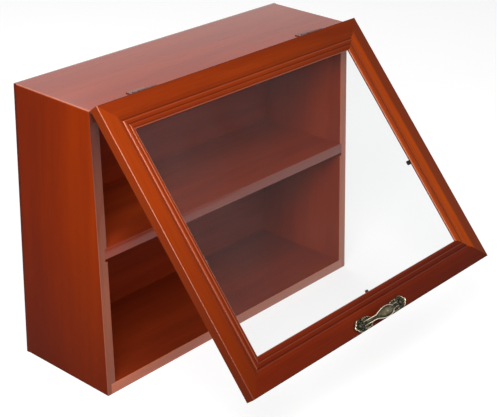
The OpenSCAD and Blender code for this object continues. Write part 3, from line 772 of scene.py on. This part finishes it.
def add_web(bm, wear, side, outline):
    """The low fluted ground of the cast leaves, between a rosette and the bow."""
    across = 48
    rings = []
    for x, reach in outline:
        ring = []
        for i in range(across + 1):
            u = 2 * i / across - 1
            ridge = math.cos(3 * math.pi * u * (1.2 - 0.2 * u * u)) * 0.5 + 0.5
            edge = min(1.0, (1 - abs(u)) / 0.08)
            high = (0.0006 + 0.0007 * ridge) * (0.55 + 0.45 * edge)
            ring.append(cast_vertex(bm, wear, side * x, u * reach, high, 0.05 + 0.38 * ridge ** 3))
        rings.append(ring + [cast_vertex(bm, wear, side * x, u * reach, 0) for u in (1, -1)])
    skin(bm, rings)


def curve_at(points, t):
    """The place at share t along a smooth curve through points."""
    last = len(points) - 1
    i = min(int(t * last), last - 1)
    p0, p1, p2, p3 = (Vector(points[min(max(j, 0), last)]) for j in (i - 1, i, i + 1, i + 2))
    u = t * last - i
    square, cube = 2 * p0 - 5 * p1 + 4 * p2 - p3, 3 * p1 - p0 - 3 * p2 + p3
    return 0.5 * (2 * p1 + (p2 - p0) * u + square * u * u + cube * u ** 3)


def add_scroll(bm, wear, path, widths, heights, rubs):
    """A cast leaf or curl lying on the rail: a ridge swept along path, highest in its middle.
    It is knobbed along its length, and rubs says how far the knobs are worn bright."""
    count = 56
    path = [(*p, 0) for p in path]
    widths, heights, rubs = ([(v, 0, 0) for v in values] for values in (widths, heights, rubs))
    rings = []
    for k in range(count + 1):
        t = k / count
        here = curve_at(path, t)
        ahead = curve_at(path, min(t + 0.02, 1)) - curve_at(path, max(t - 0.02, 0))
        across = Vector((-ahead.y, ahead.x, 0)).normalized()
        w = curve_at(widths, t).x
        h = curve_at(heights, t).x
        knob = abs(math.sin(math.pi * 4 * t))
        worn = curve_at(rubs, t).x * (0.35 + 0.65 * knob)
        h *= 0.86 + 0.14 * knob
        ring = []
        for u, v, rubbed in (
            (1, 0, 0.05), (0.97, 0.45, 0.25), (0.8, 0.8, 0.6), (0.42, 0.99, 1.0), (0, 0.93, 0.75),
            (-0.42, 0.99, 1.0), (-0.8, 0.8, 0.6), (-0.97, 0.45, 0.25), (-1, 0, 0.05),
        ):
            p = here + across * (u * w)
            ring.append(cast_vertex(bm, wear, p.x, p.y, v * h, rubbed * worn))
        rings.append(ring)
    skin(bm, rings)


def make_pull():
    """The casting: two rosettes, the bow, and at each end a web with two leaves and two curls."""
    bm = new_bmesh("wear")
    wear = bm.verts.layers.float["wear"]
    for side in (-1, 1):
        add_rosette(bm, wear, side)
    add_bow(bm, wear)
    # Paths of one end in millimetres: out from the pull's middle, and up from its axis
    leaf = [(24.0, 3.4), (21.8, 3.9), (19.4, 4.25), (17.0, 4.2), (15.0, 3.6), (13.6, 2.75), (12.6, 2.2)]
    curl = [(23.2, 4.4), (21.9, 4.75), (20.9, 4.35), (20.6, 3.6), (21.3, 3.15)]
    web = [(24.6, 3.3), (22.8, 3.9), (20.8, 4.3), (18.8, 4.4), (17.0, 4.2), (15.4, 3.7), (14.0, 2.9),
           (12.8, 2.1)]
    for sx in (-1, 1):
        add_web(bm, wear, sx, [(x * MM, y * MM) for x, y in web])
        for sy in (-1, 1):
            add_scroll(bm, wear, [(sx * x * MM, sy * y * MM) for x, y in leaf],
                       [v * MM for v in (0.7, 0.75, 0.7, 0.6, 0.55, 0.5, 0.3)],
                       [v * MM for v in (1.6, 1.7, 1.8, 1.9, 1.9, 1.8, 1.3)],
                       (0.5, 0.75, 0.7, 0.85, 1.0, 1.1, 0.8))
            add_scroll(bm, wear, [(sx * x * MM, sy * y * MM) for x, y in curl],
                       [v * MM for v in (0.5, 0.5, 0.45, 0.38, 0.3)],
                       [v * MM for v in (1.8, 2.1, 2.3, 2.1, 1.5)], (0.3, 0.75, 0.8, 0.4, 0.2))
    mesh = finish_mesh("pull_handle_cast", bm, 48)
    link("pull_handle_cast", mesh, "door", [M_PULL], "pull_handle")


def make_pull_screws():
    """Screws with domed, slotted heads."""
    bm = new_bmesh("wear")
    wear = bm.verts.layers.float["wear"]
    dome_r = (HEAD_R ** 2 + DOME_H ** 2) / (2 * DOME_H)
    dome_z = SEAT_H + DOME_H - dome_r
    profile = [(SHANK_R * 0.2, -SCREW_L), (SHANK_R, -SCREW_L + 0.001), (SHANK_R, SEAT_H - 0.0001),
               (HEAD_R - 0.0001, SEAT_H - 0.00005), (HEAD_R, SEAT_H + 0.0001)]
    for i in range(1, 9):
        a = math.asin(HEAD_R / dome_r) * (1 - i / 8.0)
        profile.append((max(dome_r * math.sin(a), 0.00004), dome_z + dome_r * math.cos(a)))
    around = 64
    for side in (-1, 1):
        rings = []
        for r, z in profile:
            ring = []
            for i in range(around):
                t = 2 * math.pi * i / around
                x, y, h = r * math.cos(t), r * math.sin(t), z
                if z > SEAT_H and r < HEAD_R * 0.97:
                    u = abs(x * math.cos(SLOT_TURN) + y * math.sin(SLOT_TURN))
                    h -= SLOT_D * min(1.0, max(0.0, (SLOT_HALF - u) / SLOT_SOFT))
                rubbed = 0.0 if h < z - 0.0001 else (0.32 if z > SEAT_H + 0.0006 else 0.12)
                ring.append(cast_vertex(bm, wear, side * PULL_SPAN / 2 + x, y, h, rubbed))
            rings.append(ring)
        skin(bm, rings)
    mesh = finish_mesh("pull_screws_slotted", bm, 40)
    link("pull_screws_slotted", mesh, "door", [M_PULL], "pull_screws")


make_pull()
make_pull_screws()


# ---------------------------------------------------------------- floor, world and lamps
def make_stage():
    """A plain pale floor. It shows white to the camera and in reflections, and takes the shadow."""
    n = Nodes("floor")
    where = n.where()
    colour = n.mix(n.noise(where, 3.0), (0.44, 0.44, 0.44), (0.46, 0.46, 0.46))
    n.put(n.bsdf.inputs["Base Color"], colour)
    n.surface({"Roughness": 0.9, "Specular IOR Level": 0.1})
    bm = bmesh.new()
    bmesh.ops.create_grid(bm, x_segments=8, y_segments=8, size=3)
    mesh = bpy.data.meshes.new("floor")
    bm.to_mesh(mesh)
    bm.free()
    mesh.materials.append(n.mat)
    obj = bpy.data.objects.new("floor", mesh)
    bpy.context.scene.collection.objects.link(obj)
    obj.location.z = -0.0003
    path = n.add("ShaderNodeLightPath")
    seen = n.math("MAXIMUM", path.outputs["Is Camera Ray"],
                  n.math("MAXIMUM", path.outputs["Is Glossy Ray"], path.outputs["Is Transmission Ray"]))
    white = n.add("ShaderNodeEmission", {"Color": (1, 1, 1, 1), "Strength": 0.74})
    both = n.add("ShaderNodeAddShader")
    n.put(both.inputs[0], n.bsdf.outputs[0])
    n.put(both.inputs[1], white.outputs[0])
    n.put(n.out.inputs["Surface"], n.mix_shaders(seen, n.bsdf.outputs[0], both.outputs[0]))


def make_world():
    """Soft white surroundings, at full strength to the camera and in reflections and glass."""
    world = bpy.data.worlds.new("studio")
    bpy.context.scene.world = world
    world.use_nodes = True
    tree = world.node_tree
    background = tree.nodes["Background"]
    background.inputs["Color"].default_value = (1, 1, 1, 1)
    path = tree.nodes.new("ShaderNodeLightPath")
    seen = path.outputs["Is Camera Ray"]
    for kind in ("Is Glossy Ray", "Is Transmission Ray"):
        either = tree.nodes.new("ShaderNodeMath")
        either.operation = "MAXIMUM"
        tree.links.new(seen, either.inputs[0])
        tree.links.new(path.outputs[kind], either.inputs[1])
        seen = either.outputs[0]
    level = tree.nodes.new("ShaderNodeMapRange")
    tree.links.new(seen, level.inputs["Value"])
    level.inputs["To Min"].default_value = 0.2
    level.inputs["To Max"].default_value = 1.0
    tree.links.new(level.outputs["Result"], background.inputs["Strength"])


def lamp(name, at, aim, size, power):
    """A square white area lamp that isn't seen itself."""
    data = bpy.data.lights.new(name, "AREA")
    data.shape = "SQUARE"
    data.size = size
    data.energy = power
    obj = bpy.data.objects.new(name, data)
    bpy.context.scene.collection.objects.link(obj)
    obj.location = at
    obj.rotation_euler = (Vector(aim) - Vector(at)).to_track_quat("-Z", "Y").to_euler()
    obj.visible_camera = False


make_stage()
make_world()
lamp("key", (-0.45, -0.40, 0.60), (-0.05, -0.08, 0.14), 0.42, 5.6)
lamp("fill", (1.3, -1.2, 0.6), (0, -0.05, 0.1), 0.9, 1.6)
lamp("top", (0.15, 0.55, 1.05), (0.05, 0.02, 0.2), 0.8, 5)
